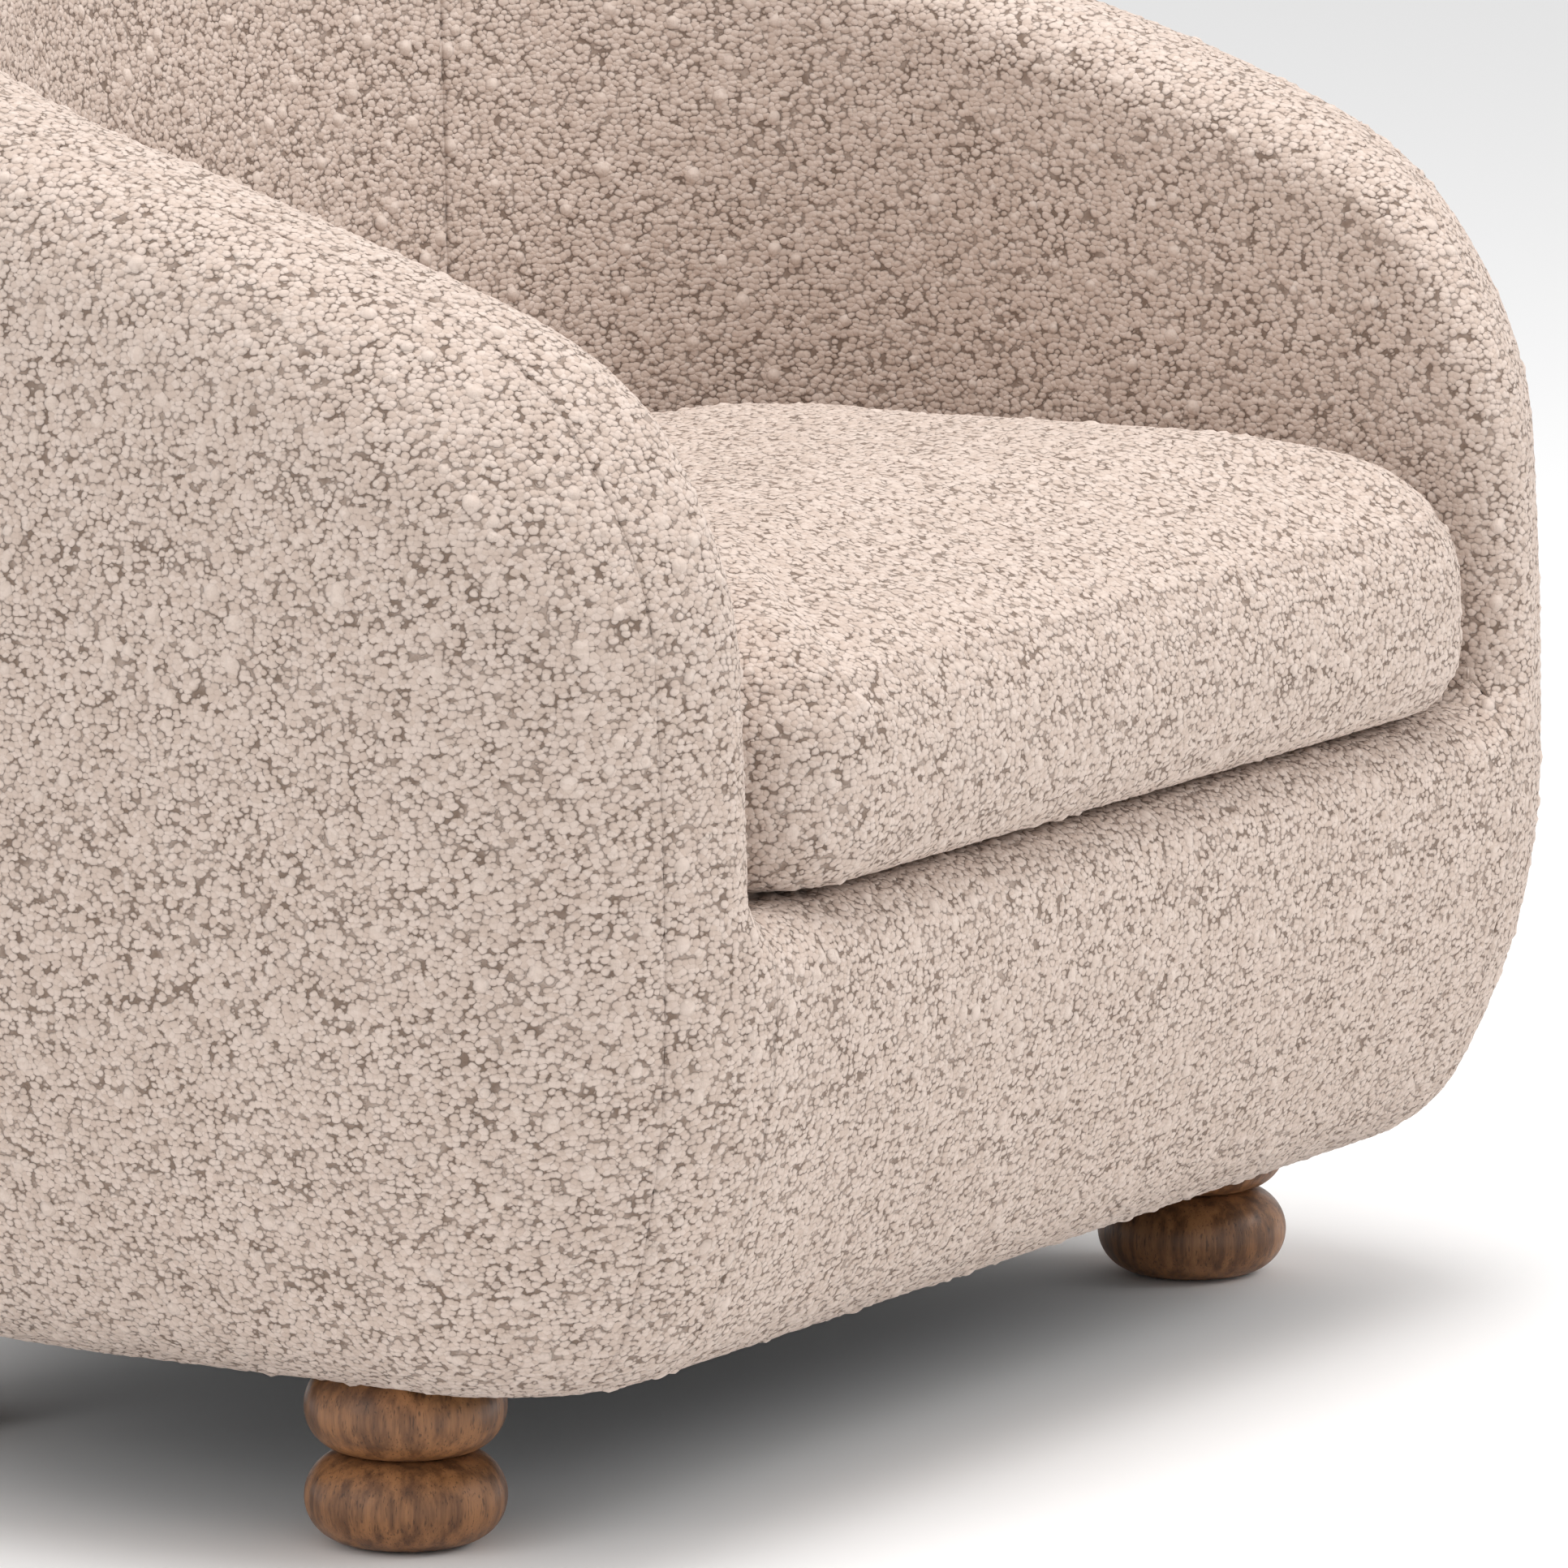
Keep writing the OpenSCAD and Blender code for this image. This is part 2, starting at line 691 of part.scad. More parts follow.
// One ring of the crowned top: k runs from 0 at the edge to 1 at the middle
function crown_ring(k, inset, z) = [
    for (p = cushion_outline(inset))
        let (q = cushion_mid + (p - cushion_mid) * (1 - k))
        [q.x, q.y, z + crown * (1 - (1 - k) * (1 - k))]
];
crown_steps = [0, 0.12, 0.3, 0.55, 0.85];

module cushion_bottom() {
    color("#bda596")
        translate([0, 0, cushion_z]) linear_extrude(cloth_t) polygon(cushion_outline(0));
}
module cushion_boxing() {
    color("#c6afa0")
        translate([0, 0, box_z])
            linear_extrude(box_h)
                difference() {
                    polygon(cushion_outline(0));
                    polygon(cushion_outline(cover_t));
                }
}
module cushion_foam() {
    z = box_z + box_h;
    inset = cover_t + gap;
    color("#efe3b4")
        loft(concat(
            [[for (p = cushion_outline(inset)) [p.x, p.y, box_z]]],
            [for (k = crown_steps) crown_ring(k, inset, z)]));
}
module cushion_top() {
    z = box_z + box_h;
    color("#c6afa0")
        loft(concat(
            [for (k = [len(crown_steps) - 1:-1:0]) crown_ring(crown_steps[k], 0, z + gap)],
            [for (k = crown_steps) crown_ring(k, 0, z + gap + cover_t)]));
}

base_board();
front_rail();
back_rail();
side_rail_left();
side_rail_right();
corner_blocks();
arm_panel_left();
arm_panel_right();
arm_ribs_left();
arm_ribs_right();
arm_top_rail_left();
arm_top_rail_right();
back_ribs();
back_bow();
long_webbing();
cross_webbing();
deck_pad();
deck_cloth();
front_padding();
front_cover();
arm_front_pad_left();
arm_front_pad_right();
arm_padding_left();
arm_padding_right();
back_padding();
outer_cover_left();
outer_cover_right();
outer_cover_back();
inside_cover_left();
inside_cover_right();
inside_cover_back();
dust_cover();
foot_front_left();
foot_front_right();
foot_back_left();
foot_back_right();
foot_bolts();
tee_nuts();
foot_glides();
cushion_foam();
cushion_top();
cushion_bottom();
cushion_boxing();
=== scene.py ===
import json
import math

import bpy
import numpy as np
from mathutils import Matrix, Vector


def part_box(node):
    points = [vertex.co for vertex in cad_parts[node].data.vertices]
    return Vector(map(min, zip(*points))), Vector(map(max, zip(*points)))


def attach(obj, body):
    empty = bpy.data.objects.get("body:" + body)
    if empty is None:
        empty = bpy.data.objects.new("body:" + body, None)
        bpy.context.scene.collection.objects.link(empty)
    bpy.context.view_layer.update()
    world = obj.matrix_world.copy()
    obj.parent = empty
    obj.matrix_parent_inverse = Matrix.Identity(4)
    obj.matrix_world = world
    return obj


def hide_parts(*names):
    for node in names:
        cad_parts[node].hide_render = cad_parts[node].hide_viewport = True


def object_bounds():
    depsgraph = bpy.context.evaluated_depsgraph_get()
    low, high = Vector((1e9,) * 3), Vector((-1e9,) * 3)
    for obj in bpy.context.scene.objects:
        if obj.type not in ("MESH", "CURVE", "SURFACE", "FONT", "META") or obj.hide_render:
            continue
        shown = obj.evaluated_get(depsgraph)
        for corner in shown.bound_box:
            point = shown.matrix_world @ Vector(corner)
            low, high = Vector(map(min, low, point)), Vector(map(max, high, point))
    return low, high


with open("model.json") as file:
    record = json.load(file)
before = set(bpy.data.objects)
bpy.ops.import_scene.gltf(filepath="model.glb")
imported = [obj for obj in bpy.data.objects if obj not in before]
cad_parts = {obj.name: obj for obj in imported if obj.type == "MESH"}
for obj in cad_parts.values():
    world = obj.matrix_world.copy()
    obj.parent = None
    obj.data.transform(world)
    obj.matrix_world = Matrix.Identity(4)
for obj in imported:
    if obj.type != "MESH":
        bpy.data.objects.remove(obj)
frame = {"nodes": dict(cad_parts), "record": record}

cad_low, cad_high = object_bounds()
scene = bpy.context.scene

# ---- Camera ----

VIEW_YAW = math.radians(-59.03)
VIEW_PITCH = math.radians(-9.67)
VIEW_FROM = Vector((-7.0228, -4.3731, 1.7196))
LENS_MM = 368.3  # on a sensor 36 mm wide


def make_camera():
    data = bpy.data.cameras.new("camera")
    data.sensor_width = 36
    data.lens = LENS_MM
    data.clip_start = 0.1
    data.clip_end = 100
    camera = bpy.data.objects.new("camera", data)
    scene.collection.objects.link(camera)
    camera.location = VIEW_FROM
    camera.rotation_euler = (math.pi / 2 + VIEW_PITCH, 0, VIEW_YAW)
    scene.camera = camera


make_camera()

# ---- The tub's surface ----
# The arms, back and front rail are one rounded form, given by a distance that is
# negative inside it. The same form is in the CAD model.

HALF_W = 0.532
BACK_Y = cad_high.y
FRONT_Y = cad_low.y + 0.010
BARREL_Y = FRONT_Y + 0.336
BASE_Z = 0.086
DECK_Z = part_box("deck_cloth")[1].z
ARM_H = 0.592
BACK_RISE = 0.270
RISE_EASE = 0.080
RISE_RUN = 0.7  # from the front, how far the arms' tops rise
TOP_SLOPE = 0.965  # turns a height over the sloping top into a distance
TUCK = 0.066
TUCK_N = 2.2
LEAN = 0.030
LEAN_RUN = 0.4
BULGE_Z = 0.300
CORNER_R = 0.165
SEAT_HALF = 0.380
INNER_B = 0.250
OUTER_N = 2.25
INNER_N = 2.1
RECLINE = 0.12
RECLINE_Z = 0.45
RECLINE_LOW = -0.12
EDGE_BOTTOM, EDGE_TOP, EDGE_FRONT, EDGE_INNER, EDGE_MOUTH = 0.036, 0.074, 0.130, 0.046, 0.034
EDGE_RUN = 0.26  # from the front, how far the edge takes to reach its rounding on top
RAIL_FILLET = 0.018
MARGIN = 0.02  # how far a grid reaches past its surface


def smax(a, b, r):
    """The larger of two distances, with the corner between them rounded to radius r."""
    u, v = np.maximum(a + r, 0), np.maximum(b + r, 0)
    return np.minimum(-r, np.maximum(a, b)) + np.sqrt(u * u + v * v)


def bulge(z):
    low = np.clip((BULGE_Z - z) / (BULGE_Z - BASE_Z), 0, None)
    high = np.clip((z - BULGE_Z) / LEAN_RUN, 0, None)
    return -TUCK * low**TUCK_N - LEAN * high**2


def oval(x, y, a, b, n):
    u, v = np.abs(x) / a, np.maximum(np.abs(y) / b, 1e-9)
    f = np.maximum((u**n + v**n) ** (1 / n), 1e-9)
    slope = f ** (1 - n) * np.hypot(u ** (n - 1) / a, v ** (n - 1) / b)
    return (f - 1) / np.maximum(slope, 1e-9)


def outline(x, y, z):
    u, v = np.abs(x) - (HALF_W - CORNER_R), FRONT_Y + CORNER_R - y
    box = np.minimum(np.maximum(u, v), 0) + np.hypot(np.maximum(u, 0), np.maximum(v, 0)) - CORNER_R
    barrel = oval(x, y - BARREL_Y, HALF_W, BACK_Y - BARREL_Y, OUTER_N)
    return np.where(y < BARREL_Y, box, barrel) - bulge(z)


def well(x, y, z):
    b = INNER_B + RECLINE * np.maximum(z - RECLINE_Z, RECLINE_LOW)
    return np.where(y < BARREL_Y, np.abs(x) - SEAT_HALF, oval(x, y - BARREL_Y, SEAT_HALF, b, INNER_N))


def tub(p):
    x, y, z = p[..., 0], p[..., 1], p[..., 2]
    s = np.clip((y - FRONT_Y) / RISE_RUN, 0, 1)
    top = (z - (ARM_H + BACK_RISE * s - RISE_EASE * s * s)) * TOP_SLOPE
    k = np.clip((y - FRONT_Y) / EDGE_RUN, 0, 1)
    k = k * k * (3 - 2 * k)
    outer = smax(outline(x, y, z), top, EDGE_FRONT * (1 - k) + EDGE_TOP * k)
    inner = -smax(-smax(-well(x, y, z), top, EDGE_INNER), DECK_Z - z, RAIL_FILLET)
    return smax(smax(outer, inner, EDGE_MOUTH), BASE_Z - z, EDGE_BOTTOM)


def gradient(field, p, h=5e-4):
    g = np.empty_like(p)
    for k in range(3):
        d = np.zeros(3)
        d[k] = h
        g[:, k] = (field(p + d) - field(p - d)) / (2 * h)
    return g


def snap(field, p, steps=3):
    """Moves points onto the surface where field is zero."""
    for _ in range(steps):
        g = gradient(field, p)
        p = p - (field(p) / np.maximum((g * g).sum(1), 1e-4))[:, None] * g
    return p


def surface(field, low, high, cell):
    """Triangles over the surface where field is zero, from a grid of cells."""
    axes = [np.arange(a, b + cell, cell) for a, b in zip(low, high)]
    value = field(np.stack(np.meshgrid(*axes, indexing="ij"), -1))
    inside = value < 0
    n = np.array(value.shape) - 1
    count, total = np.zeros(n, np.int8), np.zeros((*n, 3))
    corners = [(a, b, c) for a in (0, 1) for b in (0, 1) for c in (0, 1)]

    def at(array, c):
        return array[c[0] : c[0] + n[0], c[1] : c[1] + n[1], c[2] : c[2] + n[2]]

    for i, a in enumerate(corners):
        for b in corners[i + 1 :]:
            if sum(abs(p - q) for p, q in zip(a, b)) != 1:
                continue
            crossed = at(inside, a) != at(inside, b)
            va, vb = at(value, a)[crossed], at(value, b)[crossed]
            t = va / (va - vb)
            for k in range(3):
                total[..., k][crossed] += a[k] + (b[k] - a[k]) * t
            count += crossed
    cells = count > 0
    number = -np.ones(n, int)
    number[cells] = np.arange(cells.sum())
    points = (total[cells] / count[cells][:, None] + np.argwhere(cells)) * cell
    points += np.array([a[0] for a in axes])
    faces = []
    for axis in range(3):
        near = [slice(1, n[0]), slice(1, n[1]), slice(1, n[2])]
        near[axis] = slice(0, n[axis])
        far = list(near)
        far[axis] = slice(1, n[axis] + 1)
        a, b = inside[tuple(near)], inside[tuple(far)]
        crossed = a != b
        shift = np.array([1, 1, 1])
        shift[axis] = 0
        q = np.argwhere(crossed) + shift
        one, two = np.eye(3, dtype=int)[(axis + 1) % 3], np.eye(3, dtype=int)[(axis + 2) % 3]
        quad = np.stack([number[tuple((q - d).T)] for d in (one + two, two, 0 * one, one)], 1)
        flip = ~a[crossed]
        quad[flip] = quad[flip][:, ::-1]
        faces.append(quad)
    quads = np.concatenate(faces)
    return snap(field, points), np.concatenate([quads[:, [0, 1, 2]], quads[:, [0, 2, 3]]])


# ---- Cutting a surface into sewn panels ----


def cut(points, tris, line, field, near):
    """Splits the triangles that cross the curve where line is zero. Returns points and triangles."""
    s = line(points)
    close = np.abs(s) < near
    moved = points[close]
    for _ in range(3):
        g = gradient(line, moved)
        moved = moved - (line(moved) / np.maximum((g * g).sum(1), 1e-4))[:, None] * g
        moved = snap(field, moved, 1)
    points = points.copy()
    points[close] = moved
    s[close] = 0
    sign = np.sign(s)
    corner = sign[tris]
    mixed = (corner.min(1) < 0) & (corner.max(1) > 0)
    kept, extra, made = list(tris[~mixed]), [], {}
    count = len(points)

    def crossing(a, b):
        key = (min(a, b), max(a, b))
        if key not in made:
            t = s[a] / (s[a] - s[b])
            made[key] = count + len(extra)
            extra.append(points[a] + (points[b] - points[a]) * t)
        return made[key]

    for tri in tris[mixed]:
        zero = [k for k in range(3) if sign[tri[k]] == 0]
        if zero:
            a, b, c = (tri[(zero[0] + k) % 3] for k in range(3))
            m = crossing(b, c)
            kept += [(a, b, m), (a, m, c)]
            continue
        side = sign[tri]
        lone = next(k for k in range(3) if side[k] != side[k - 1] and side[k] != side[k - 2])
        a, b, c = (tri[(lone + k) % 3] for k in range(3))
        m, n = crossing(a, b), crossing(a, c)
        kept += [(a, m, n), (m, b, c), (m, c, n)]
    if extra:
        points = np.concatenate([points, snap(field, np.array(extra), 1)])
    return points, np.array(kept)


def submesh(points, tris):
    used = np.unique(tris)
    index = np.full(len(points), -1)
    index[used] = np.arange(len(used))
    return points[used], index[tris]


def halve(points, tris, field=None):
    """Splits each triangle into four, and puts the new points on the field's surface."""
    edges = np.sort(np.concatenate([tris[:, [0, 1]], tris[:, [1, 2]], tris[:, [2, 0]]]), 1)
    pair, index = np.unique(edges, axis=0, return_inverse=True)
    middle = points[pair].mean(1)
    if field is not None:
        middle = snap(field, middle, 2)
    m = (index.reshape(3, -1) + len(points)).T
    a, b, c = tris.T
    ab, bc, ca = m.T
    fine = np.concatenate(
        [np.stack(q, 1) for q in ((a, ab, ca), (ab, b, bc), (ca, bc, c), (ab, bc, ca))]
    )
    return np.concatenate([points, middle]), fine, {tuple(p): len(points) + i for i, p in enumerate(pair)}


def boundary(tris):
    edges = np.concatenate([tris[:, [0, 1]], tris[:, [1, 2]], tris[:, [2, 0]]])
    key = np.sort(edges, 1)
    _, first, times = np.unique(key, axis=0, return_index=True, return_counts=True)
    return edges[first[times == 1]]


def closed_panel(points, tris, field, thickness):
    """A panel with a fine face on the field's surface and a coarse back inside it.

    Also gives the number of the back's first point.
    """
    rim = boundary(tris)
    normal = gradient(field, points)
    normal /= np.linalg.norm(normal, axis=1)[:, None]
    back = points - normal * thickness
    fine, faces, middle = halve(points, tris, field)
    start = len(fine)
    strip = []
    for a, b in rim:
        m = middle[(min(a, b), max(a, b))]
        strip += [(a, start + a, m), (m, start + a, start + b), (m, start + b, b)]
    faces = np.concatenate([faces, tris[:, ::-1] + start, np.array(strip)])
    return np.concatenate([fine, back]), faces, start


def make_mesh(name, points, tris):
    mesh = bpy.data.meshes.new(name)
    mesh.vertices.add(len(points))
    mesh.vertices.foreach_set("co", np.asarray(points, np.float32).ravel())
    mesh.loops.add(3 * len(tris))
    mesh.loops.foreach_set("vertex_index", np.asarray(tris, np.int32).ravel())
    mesh.polygons.add(len(tris))
    mesh.polygons.foreach_set("loop_start", np.arange(0, 3 * len(tris), 3, dtype=np.int32))
    mesh.polygons.foreach_set("use_smooth", np.ones(len(tris), bool))
    mesh.update(calc_edges=True)
    mesh.validate()
    piece = bpy.data.objects.new(name, mesh)
    scene.collection.objects.link(piece)
    return piece


def set_attribute(piece, name, values):
    attribute = piece.data.attributes.new(name, "FLOAT", "POINT")
    attribute.data.foreach_set("value", np.asarray(values, np.float32))


# ---- Materials ----


class Nodes:
    """Short calls to add nodes to a shader or geometry node tree."""

    def __init__(self, tree):
        self.tree = tree

    def add(self, kind, inputs=(), **settings):
        node = self.tree.nodes.new(kind)
        for key, value in settings.items():
            setattr(node, key, value)
        for key, value in dict(inputs).items():
            if isinstance(value, bpy.types.NodeSocket):
                self.tree.links.new(value, node.inputs[key])
            else:
                node.inputs[key].default_value = value
        return node

    def math(self, operation, a, b=0.0, clamp=False):
        return self.add("ShaderNodeMath", {0: a, 1: b}, operation=operation, use_clamp=clamp).outputs[0]

    def ramp(self, value, low, high, to_low=0.0, to_high=1.0):
        inputs = {"Value": value, "From Min": low, "From Max": high, "To Min": to_low, "To Max": to_high}
        return self.add("ShaderNodeMapRange", inputs, interpolation_type="SMOOTHSTEP").outputs["Result"]

    def vector(self, operation, a, b):
        return self.add("ShaderNodeVectorMath", {0: a, 1: b}, operation=operation).outputs[0]

    def noise(self, vector, scale, detail=2.0, rough=0.5):
        inputs = {"Vector": vector, "Scale": scale, "Detail": detail, "Roughness": rough}
        return self.add("ShaderNodeTexNoise", inputs)

    def voronoi(self, vector, scale, feature="F1", random=1.0):
        inputs = {"Vector": vector, "Scale": scale, "Randomness": random}
        return self.add("ShaderNodeTexVoronoi", inputs, feature=feature)

    def mix(self, share, a, b):
        node = self.add("ShaderNodeMix", data_type="RGBA")
        for key, value in ((0, share), (6, a), (7, b)):
            if isinstance(value, bpy.types.NodeSocket):
                self.tree.links.new(value, node.inputs[key])
            else:
                node.inputs[key].default_value = value
        return node.outputs[2]


NUB_SCALE = 262  # one over a nub's width in metres
SLUB_SCALE = 82
ROW_SQUASH = 1.25  # nubs are lower than they are wide
NUB_HEIGHT = 0.0021


def balls(n, place, scale, least, most, random=1.0):
    """Round balls, one to a cell. Gives their height from 0 to 1, and two random values for each."""
    cell = n.voronoi(place, scale, random=random)
    chance = n.add("ShaderNodeSeparateXYZ", {0: cell.outputs["Color"]}).outputs
    radius = n.ramp(chance[0], 0.0, 1.0, least, most)
    near = n.math("DIVIDE", cell.outputs["Distance"], radius)
    room = n.math("SUBTRACT", 1.0, n.math("MULTIPLY", near, near), clamp=True)
    return n.math("SQRT", room), chance[1], chance[2]


def boucle_relief(n, place):
    """The cloth's relief at a place: height from 0 to 1, a mask of painted shade in the creases between
    nubs, slubs, and each nub's tone.
    """
    bend = n.noise(place, 130, 1.0)
    offset = n.vector("SUBTRACT", bend.outputs["Color"], (0.5, 0.5, 0.5))
    offset = n.vector("MULTIPLY", offset, (0.0022, 0.0022, 0.0022))
    warped = n.vector("MULTIPLY", n.vector("ADD", place, offset), (1.0, 1.0, ROW_SQUASH))
    nub, size, tone = balls(n, warped, NUB_SCALE, 0.66, 0.84, 0.9)
    # Painted shade: 1 in the low creases between the nubs, where shade falls.
    crease_shade = n.ramp(nub, 0.12, 0.74, 1.0, 0.0)
    nub = n.math("MULTIPLY", nub, n.ramp(size, 0.0, 1.0, 0.46, 0.72))
    slub, chance, _ = balls(n, place, SLUB_SCALE, 0.26, 0.42)
    slub = n.math("MULTIPLY", slub, n.ramp(chance, 0.68, 0.74))
    height = n.math("MAXIMUM", nub, slub)
    crease_shade = n.math("MULTIPLY", crease_shade, n.ramp(slub, 0.15, 0.6, 1.0, 0.0))
    return height, crease_shade, slub, tone


def new_material(name):
    material = bpy.data.materials.new(name)
    material.use_nodes = True
    tree = material.node_tree
    tree.nodes.clear()
    n = Nodes(tree)
    shader = n.add("ShaderNodeBsdfPrincipled")
    output = n.add("ShaderNodeOutputMaterial")
    tree.links.new(shader.outputs[0], output.inputs[0])
    place = n.add("ShaderNodeTexCoord").outputs["Object"]
    return material, n, shader, place


def plug(n, shader, **sockets):
    for name, value in sockets.items():
        socket = shader.inputs[name.replace("_", " ")]
        if isinstance(value, bpy.types.NodeSocket):
            n.tree.links.new(value, socket)
        else:
            socket.default_value = value


def boucle_material():
    material, n, shader, place = new_material("boucle")
    height, crease_shade, slub, nub_tone = boucle_relief(n, place)
    patch = n.math("MULTIPLY", n.noise(place, 26, 3.0).outputs[0], 0.4)
    tone = n.math("ADD", patch, n.math("MULTIPLY", nub_tone, 0.55))
    yarn = n.mix(n.ramp(tone, 0.20, 0.78), (0.590, 0.472, 0.402, 1), (0.690, 0.572, 0.502, 1))
    yarn = n.mix(n.math("MULTIPLY", slub, 0.5), yarn, (0.730, 0.618, 0.545, 1))
    # Painted shade: the creases between the nubs are darkened towards dark brown, by a share that varies
    # with noise.
    depth = n.ramp(n.noise(place, 75, 2.0).outputs[0], 0.36, 0.62, 0.50, 0.85)
    yarn = n.mix(n.math("MULTIPLY", crease_shade, depth), yarn, (0.150, 0.098, 0.068, 1))
    # Painted shade: the cloth is darkened along the seams, where the sunk seam grooves lie.
    seam = n.add("ShaderNodeAttribute", attribute_name="seam").outputs["Fac"]
    yarn = n.mix(n.math("MULTIPLY", seam, 0.22), yarn, (0.200, 0.135, 0.100, 1))
    fibre = n.noise(place, 1500, 2.0, 0.6).outputs[0]
    relief = n.math("ADD", height, n.math("MULTIPLY", fibre, 0.14))
    bump = n.add("ShaderNodeBump", {"Height": relief, "Strength": 1.0, "Distance": 0.0026})
    plug(n, shader, Base_Color=yarn, Roughness=0.96, Normal=bump.outputs[0])
    shader.inputs["Specular IOR Level"].default_value = 0.12
    shader.inputs["Sheen Weight"].default_value = 0.22
    shader.inputs["Sheen Roughness"].default_value = 0.5
    shader.inputs["Sheen Tint"].default_value = (1.0, 0.94, 0.90, 1)
    return material


def wood_material(name, dark, light, grain=(26, 26, 2.2), rough=(0.34, 0.5), pores=0.6):
    material, n, shader, place = new_material(name)
    stretched = n.vector("MULTIPLY", place, grain)
    wave = n.noise(stretched, 4.5, 5.0, 0.62).outputs[0]
    colour = n.mix(n.ramp(wave, 0.34, 0.66), dark, light)
    blotch = n.noise(place, 21, 3.0).outputs[0]
    colour = n.mix(n.ramp(blotch, 0.52, 0.74, 0.0, 0.5), colour, [c * 0.42 for c in dark[:3]] + [1])
    fleck = n.noise(n.vector("MULTIPLY", place, (1.0, 1.0, 0.11)), 900, 2.0, 0.6).outputs[0]
    pore = n.ramp(fleck, 0.57, 0.66)
    colour = n.mix(n.math("MULTIPLY", pore, pores), colour, [c * 0.28 for c in dark[:3]] + [1])
    relief = n.math("SUBTRACT", wave, n.math("MULTIPLY", pore, 0.8))
    bump = n.add("ShaderNodeBump", {"Height": relief, "Strength": 0.25, "Distance": 0.0004})
    roughness = n.ramp(n.noise(place, 60, 2.0).outputs[0], 0.3, 0.7, rough[0], rough[1])
    plug(n, shader, Base_Color=colour, Roughness=roughness, Normal=bump.outputs[0])
    return material


def cloth_material(name, dark, light, threads):
    """A plain weave, or a felt where threads is large."""
    material, n, shader, place = new_material(name)
    wave = {"Vector": place, "Scale": threads, "Distortion": 0.6}
    warp = n.add("ShaderNodeTexWave", wave, bands_direction="X")
    weft = n.add("ShaderNodeTexWave", wave, bands_direction="Y")
    weave = n.math("MULTIPLY", warp.outputs["Fac"], weft.outputs["Fac"])
    mottle = n.noise(place, 300, 3.0).outputs[0]
    colour = n.mix(n.math("MULTIPLY", weave, mottle), dark, light)
    bump = n.add("ShaderNodeBump", {"Height": weave, "Strength": 0.4, "Distance": 0.0005})
    plug(n, shader, Base_Color=colour, Roughness=0.92, Normal=bump.outputs[0])
    return material


def metal_material(name):
    material, n, shader, place = new_material(name)
    streak = n.noise(n.vector("MULTIPLY", place, (1.0, 1.0, 30.0)), 60, 3.0).outputs[0]
    colour = n.mix(streak, (0.42, 0.42, 0.43, 1), (0.66, 0.66, 0.68, 1))
    plug(n, shader, Base_Color=colour, Roughness=n.ramp(streak, 0.3, 0.7, 0.28, 0.45), Metallic=1.0)
    return material


MATERIALS = {
    "boucle": boucle_material(),
    "foot_wood": wood_material("foot_wood", (0.118, 0.050, 0.021, 1), (0.340, 0.155, 0.062, 1)),
    "plywood": wood_material(
        "plywood", (0.42, 0.27, 0.14, 1), (0.62, 0.45, 0.27, 1), (2, 2, 30), (0.6, 0.7), 0.2
    ),
    "frame_wood": wood_material(
        "frame_wood", (0.40, 0.26, 0.14, 1), (0.60, 0.42, 0.25, 1), (3, 20, 20), (0.6, 0.7), 0.3
    ),
    "webbing": cloth_material("webbing", (0.010, 0.009, 0.008, 1), (0.060, 0.054, 0.048, 1), 260),
    "deck_cloth": cloth_material("deck_cloth", (0.20, 0.15, 0.115, 1), (0.34, 0.27, 0.22, 1), 420),
    "dust_cloth": cloth_material("dust_cloth", (0.006, 0.006, 0.006, 1), (0.035, 0.035, 0.034, 1), 900),
    "foam": cloth_material("foam", (0.62, 0.52, 0.30, 1), (0.80, 0.71, 0.46, 1), 700),
    "zinc_steel": metal_material("zinc_steel"),
    "felt": cloth_material("felt", (0.030, 0.026, 0.022, 1), (0.085, 0.076, 0.066, 1), 1400),
}


def paint(piece, slot):
    piece.data.materials.clear()
    piece.data.materials.append(MATERIALS[slot])


# ---- Raising the nubs on a mesh, with the relief that the material paints ----


def relief_group():
    group = bpy.data.node_groups.new("raise_nubs", "GeometryNodeTree")
    group.interface.new_socket("Geometry", in_out="INPUT", socket_type="NodeSocketGeometry")
    group.interface.new_socket("Geometry", in_out="OUTPUT", socket_type="NodeSocketGeometry")
    n = Nodes(group)
    start, end = n.add("NodeGroupInput"), n.add("NodeGroupOutput")
    height, _, slub, _ = boucle_relief(n, n.add("GeometryNodeInputPosition").outputs[0])
    face = n.add("GeometryNodeInputNamedAttribute", {"Name": "face"}, data_type="FLOAT").outputs[0]
    rise = n.math("ADD", n.math("SUBTRACT", height, 0.45), n.math("MULTIPLY", slub, 0.30))
    rise = n.math("MULTIPLY", n.math("MULTIPLY", rise, NUB_HEIGHT), face)
    normal = n.add("GeometryNodeInputNormal").outputs[0]
    offset = n.add("ShaderNodeVectorMath", {0: normal, "Scale": rise}, operation="SCALE").outputs[0]
    moved = n.add("GeometryNodeSetPosition", {"Geometry": start.outputs[0], "Offset": offset})
    group.links.new(moved.outputs[0], end.inputs[0])
    return group


RELIEF = relief_group()


def raise_nubs(piece):
    modifier = piece.modifiers.new("nubs", "NODES")
    modifier.node_group = RELIEF
    apply_modifiers(piece)


def apply_modifiers(piece):
    graph = bpy.context.evaluated_depsgraph_get()
    mesh = bpy.data.meshes.new_from_object(piece.evaluated_get(graph))
    old = piece.data
    piece.modifiers.clear()
    piece.data = mesh
    bpy.data.meshes.remove(old)
    mesh.name = piece.name


# ---- The tub's upholstery ----

